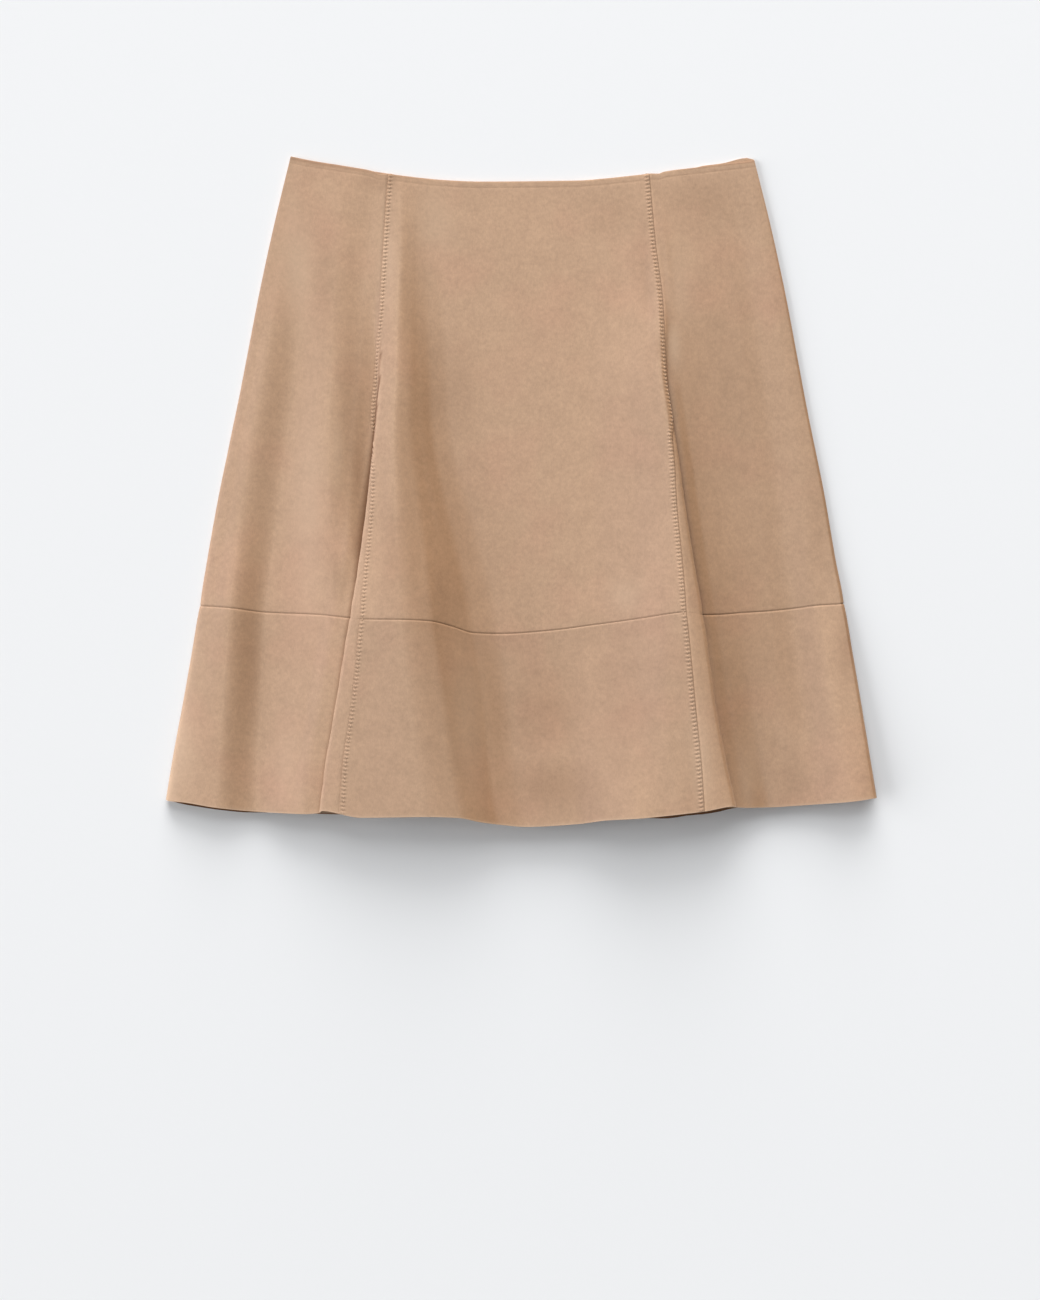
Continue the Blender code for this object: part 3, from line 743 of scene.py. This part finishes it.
# Patches of painted shade and painted light that even out the shading of the swells and folds, and
# that also show the hide's uneven tone: their middle, their reach and how strongly they show.
Patch = namedtuple("Patch", "x drop reach_across reach_down strength")
LIGHT_PATCHES = (
    Patch(-180.0, 86.0, 11.0, 50.0, 0.6),
    Patch(-168.0, 292.0, 14.0, 85.0, 0.4),
    Patch(-147.0, 238.0, 6.0, 32.0, 0.4),
    Patch(-271.0, 470.0, 12.0, 45.0, 0.5),
    Patch(-185.0, 490.0, 14.0, 40.0, 0.25),
    Patch(-107.0, 82.0, 8.0, 28.0, 0.35),
    Patch(-70.0, 56.0, 16.0, 26.0, 0.35),
    Patch(-43.0, 446.0, 16.0, 68.0, 0.3),
    Patch(83.0, 353.0, 14.0, 14.0, 0.4),
    Patch(121.0, 152.0, 6.0, 20.0, 0.6),
    Patch(124.0, 108.0, 12.0, 30.0, 0.3),
    Patch(143.0, 480.0, 8.0, 45.0, 0.4),
    Patch(180.0, 500.0, 10.0, 35.0, 0.4),
)
DARK_PATCHES = (
    Patch(-88.0, 330.0, 10.0, 36.0, 0.18),
    Patch(76.0, 46.0, 28.0, 16.0, 0.10),
    Patch(102.0, 160.0, 6.0, 18.0, 0.10),
    Patch(142.0, 36.0, 28.0, 18.0, 0.13),
    Patch(218.0, 440.0, 12.0, 45.0, 0.15),
    Patch(236.0, 300.0, 8.0, 50.0, 0.11),
    Patch(260.0, 390.0, 9.0, 28.0, 0.26),
    Patch(-157.0, 98.0, 10.0, 42.0, 0.17),
    Patch(-146.0, 334.0, 7.0, 28.0, 0.25),
    Patch(21.0, 502.0, 36.0, 28.0, 0.33),
    Patch(16.0, 448.0, 38.0, 42.0, 0.26),
    Patch(78.0, 445.0, 26.0, 60.0, 0.14),
    Patch(-101.0, 320.0, 14.0, 44.0, 0.25),
    Patch(-130.0, 250.0, 6.0, 28.0, 0.28),
    Patch(-52.0, 188.0, 18.0, 48.0, 0.13),
    Patch(98.0, 76.0, 8.0, 55.0, 0.13),
    Patch(-15.0, 400.0, 45.0, 40.0, 0.07),
    Patch(-30.0, 325.0, 42.0, 60.0, 0.07),
    Patch(-213.0, 412.0, 9.0, 42.0, 0.17),
    Patch(-112.0, 19.0, 26.0, 9.0, 0.17),
    Patch(-62.0, 345.0, 22.0, 45.0, 0.13),
    Patch(-46.0, 290.0, 26.0, 50.0, 0.12),
    Patch(-135.0, 200.0, 9.0, 55.0, 0.13),
    Patch(109.0, 156.0, 3.2, 9.0, 0.20),
    Patch(168.0, 190.0, 26.0, 60.0, 0.07),
    Patch(217.0, 495.0, 15.0, 45.0, 0.15),
)


def patched(grid, patches):
    """How strongly the strongest patch shows at each point of a grid."""
    strengths = []
    for patch in patches:
        across = (grid[:, :, 0] - patch.x) / patch.reach_across
        down = (LENGTH / 2.0 - grid[:, :, 1] - patch.drop) / patch.reach_down
        strengths.append(patch.strength * np.exp(-across ** 2 - down ** 2))
    return np.max(strengths, axis=0)


# How much lighter the lower part of the left side's crease is made, and how far in, and how far up
# from the cut hem the cut edge is worn light.
LIGHTER_CREASE = 0.55
LIGHTER_CREASE_REACH = 15.0
WORN_HEM_REACH = 0.7
# How strongly a slope to the right and a slope to the waist are painted with shade.
FACING_SHADE_WEIGHTS = (0.85, 0.25)
# Lumps of the turned cloth where the princess seams meet the waist.
Lump = namedtuple("Lump", "x drop reach height")
LUMPS = (
    Lump(-107.0, 17.0, 5.0, 0.5),
    Lump(101.5, 15.5, 5.0, 0.35),
)


def fade(distance, reach):
    """A mark's strength at a distance from its middle: 1 there, and little past its reach."""
    return np.exp(-(distance / reach) ** 2)


def seam_marks(column, place, from_seams, from_band):
    """How far the cloth sinks at a piece's seams, and how dark the shade painted in them is."""
    shows = 1.0
    if column != "centre":
        # The band's seam is lost on the strip between the fold's edge and the princess seam.
        strip = getattr(row_at(1.0), column + "_seam")
        shows = np.clip((from_seams[column] - strip) / 3.0 + 0.5, 0.0, 1.0)
    depth, reach = BAND_SEAM_SINK
    sink = depth * fade(from_band, reach) * shows
    shade, reach = BAND_SEAM_SHADE
    painted_shade = shade * fade(from_band, reach) * shows
    depth, reach = PRINCESS_SEAM_SINK[column]
    for side, away in from_seams.items():
        plain = np.interp(place, *zip(*SEAM_SHOWS[side]))
        sink = np.maximum(sink, plain * depth * fade(away, reach))
        painted_shade = np.maximum(painted_shade, plain * fade(away, PRINCESS_SEAM_REACH))
    return sink, painted_shade


def shade_under_folds(column, grid, place, from_seams):
    """How much shade is painted where the cloth goes in under the edges of the folds."""
    rows = [row_at(at) for at in place[:, 0]]
    under_folds = np.zeros(place.shape)
    for side, away in from_seams.items():
        seam = np.array([getattr(row, side + "_seam") for row in rows])[:, None]
        fold = np.array([getattr(row, side + "_fold") for row in rows])[:, None]
        past_the_edge = away - seam if column != "centre" else -away - seam
        out = (grid[:, :, 0] - fold) * (1.0 if side == "right" else -1.0)
        places, darkness, spreads = zip(*FOLD_EDGE_SHADE[side])
        dark = np.interp(place, places, darkness)
        dark = dark * fade(np.maximum(out, 0.0), np.interp(place, places, spreads))
        under_folds = np.maximum(under_folds, dark * np.clip(past_the_edge / 0.3, 0.0, 1.0))
    return under_folds


def waist_marks(grid, from_top):
    """How far the cloth sinks at the waist's two edges, and how dark their painted shade is."""
    turned_edge = fade(from_top - TURNED_EDGE, TURNED_EDGE_SPREAD)
    shade = np.interp(grid[0, :, 0], *zip(*EDGE_SHADES))
    spread = np.interp(grid[0, :, 0], *zip(*EDGE_SPREADS))
    dark = shade * fade(from_top - 0.8 * spread, spread)
    sink = WAIST_SINK * np.exp(-from_top / WAIST_SINK_REACH) + TURNED_EDGE_SINK * turned_edge
    return sink, np.maximum(dark, TURNED_EDGE_SHADE * turned_edge)


def draw_in(edge, next_line):
    """Move the points of a piece's edge half a seam line in towards the next line."""
    step = next_line - edge
    step /= np.linalg.norm(step, axis=1, keepdims=True)
    edge += step * SEAM_LINE / 2.0


for (column, part), (grid, from_left, from_right, from_top, from_foot) in fronts.items():
    is_panel = part == "panel"
    place = from_top / PANEL_LENGTH if is_panel else 1.0 + from_top / BAND_LENGTH
    from_seams = {"left": {"left": from_right}, "right": {"right": from_left},
                  "centre": {"left": from_left, "right": from_right}}[column]
    normal = upward(grid)
    # Painted shade by the way the cloth faces, from its normal.
    facing_shade = FACING_SHADE_WEIGHTS[0] * normal[:, :, 0] + FACING_SHADE_WEIGHTS[1] * normal[:, :, 1]
    facing_shade = np.clip(facing_shade, -1.0, 1.0)

    # Painted shade in the seams' grooves, under the folds' edges, at the waist's edge and in dark
    # patches.
    sink, painted_shade = seam_marks(column, place, from_seams, from_foot if is_panel else from_top)
    painted_shade = np.maximum(painted_shade, shade_under_folds(column, grid, place, from_seams))
    if is_panel:
        edge_sink, edge_dark = waist_marks(grid, from_top)
        sink += edge_sink
        painted_shade = np.maximum(painted_shade, edge_dark)
    painted_shade = np.maximum(painted_shade, patched(grid, DARK_PATCHES))
    for lump in LUMPS:
        away = np.hypot(grid[:, :, 0] - lump.x, LENGTH / 2.0 - grid[:, :, 1] - lump.drop)
        sink -= lump.height * fade(away, lump.reach)

    if column != "left":
        draw_in(grid[:, 0], grid[:, 1])
    if column != "right":
        draw_in(grid[:, -1], grid[:, -2])
    if is_panel:
        draw_in(grid[-1], grid[-2])
    else:
        draw_in(grid[0], grid[1])
    points = grid - normal * sink[:, :, None]

    # Painted light in the light patches, worn light at the band's cut hem, and lighter down the
    # left side's crease.
    wear_and_light = patched(grid, LIGHT_PATCHES)
    if not is_panel:
        wear_and_light = np.maximum(wear_and_light, np.exp(-from_foot / WORN_HEM_REACH))
    if column == "left":
        at_crease = LIGHTER_CREASE * fade(from_left, LIGHTER_CREASE_REACH)
        wear_and_light = np.maximum(wear_and_light, at_crease * np.clip(place - 0.9, 0.0, 1.0))
    masks = {"painted_shade": painted_shade, "wear_and_painted_light": wear_and_light, "facing_shade": facing_shade}
    if column == "centre":
        off_rows = [np.abs(away - np.interp(place, *zip(*ROW_INSET[side])))
                    for side, away in from_seams.items()]
        masks["beside_row"] = np.clip(ROW_REACH - np.minimum(*off_rows), 0.0, ROW_REACH)
        masks["along_row"] = from_top if is_panel else PANEL_LENGTH + from_top
    finish = suede(f"suede_{column}_{part}", TONES[column, part], (NAP_SHIFTS[column], 0.03, 0.0))
    node, flat, area = CUTS[column, part]
    suede_piece(f"{column}_front_{part}", points, masks, finish, node)

# ---------------------------------------------------------------------------------------
# Topstitching, one row on the centre front beside each princess seam.
# Straight stitches in matt thread of the suede's colour, sewn through the seam's turned
# edge. Each stitch is a short thread that dips into the cloth at its needle holes.
# ---------------------------------------------------------------------------------------
THREAD = 0.5
STITCH_SHOWS = 2.5
STITCH_GAP = STITCH - STITCH_SHOWS
FIRST_STITCH = 7.0
ROW_LENGTH = PANEL_LENGTH + BAND_LENGTH - FIRST_STITCH - 1.0

thread = bpy.data.materials.new("matt_thread")
thread.use_nodes = True
thread_tree = thread.node_tree
principled = thread_tree.nodes["Principled BSDF"]
principled.inputs["Roughness"].default_value = 0.75
principled.inputs["Specular IOR Level"].default_value = 0.25
principled.inputs["Sheen Weight"].default_value = 0.1
thread_place = thread_tree.nodes.new("ShaderNodeTexCoord")
fuzz = add_node(thread_tree, "TexNoise", Scale=900.0, Detail=2.0)
thread_tree.links.new(thread_place.outputs["Object"], fuzz.inputs["Vector"])
thread_tone = add_node(thread_tree, "Mix", data_type="RGBA")
thread_tone.inputs["A"].default_value = (0.50, 0.335, 0.22, 1.0)
thread_tone.inputs["B"].default_value = (0.66, 0.47, 0.33, 1.0)
thread_tree.links.new(fuzz.outputs["Fac"], thread_tone.inputs["Factor"])
thread_tree.links.new(thread_tone.outputs["Result"], principled.inputs["Base Color"])
twist = add_node(thread_tree, "Bump", Strength=0.5, Distance=0.1 * MM)
thread_tree.links.new(fuzz.outputs["Fac"], twist.inputs["Height"])
thread_tree.links.new(twist.outputs["Normal"], principled.inputs["Normal"])


def row_line(side):
    """The line of a row of stitches: distances down it, its points, and the cloth's normals."""
    distances, spots = [], []
    for part, start in (("panel", 0.0), ("band", PANEL_LENGTH)):
        grid, from_left, from_right, from_top, from_foot = fronts["centre", part]
        outward = upward(grid)
        for i in range(1, len(grid) - 1):
            down = from_top[i, 0]
            place = down / PANEL_LENGTH if part == "panel" else 1.0 + down / BAND_LENGTH
            inset = np.interp(place, *zip(*ROW_INSET[side]))
            at, marks = (inset, from_left[i]) if side == "left" else (-inset, -from_right[i])
            spots.append([np.interp(at, marks, line) for line in (*grid[i].T, *outward[i].T)])
            distances.append(start + down)
    return distances, np.array(spots)


def on_row(distances, spots, distance):
    """A point on the cloth's face at a distance down a row, and the way up from it."""
    at = [np.interp(distance, distances, line) for line in spots.T]
    up = Vector(at[3:]).normalized()
    return Vector(at[:3]) + up * WALL / 2.0, up


first = int(FIRST_STITCH / STITCH) + 1
count = int(ROW_LENGTH / STITCH)
for side in ("left", "right"):
    distances, spots = row_line(side)
    bpy.ops.object.select_all(action="DESELECT")
    bpy.ops.mesh.primitive_uv_sphere_add(segments=6, ring_count=4, radius=0.5 * MM)
    pattern = bpy.context.active_object
    bpy.ops.object.shade_smooth()
    pattern.data.materials.append(thread)
    plain_stitch = pattern.data.copy()
    stitches = [pattern]
    for k in range(first, first + count):
        if k > first:
            stitches.append(pattern.copy())
            stitches[-1].data = plain_stitch.copy()
            bpy.context.collection.objects.link(stitches[-1])
        start, up = on_row(distances, spots, k * STITCH + STITCH_GAP / 2.0)
        end, up = on_row(distances, spots, (k + 1) * STITCH - STITCH_GAP / 2.0)
        run = end - start
        along = run.normalized()
        beside = along.cross(up).normalized()
        turn = Matrix((beside * THREAD, up * THREAD, along * run.length)).transposed().to_4x4()
        stitches[-1].data.transform(Matrix.Translation((start + end) / 2.0 * MM) @ turn)
    for stitch in stitches:
        stitch.select_set(True)
    bpy.context.view_layer.objects.active = pattern
    bpy.ops.object.join()
    pattern.name = side + "_topstitch"
    pattern.data.name = side + "_topstitch"
    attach(pattern, "root")
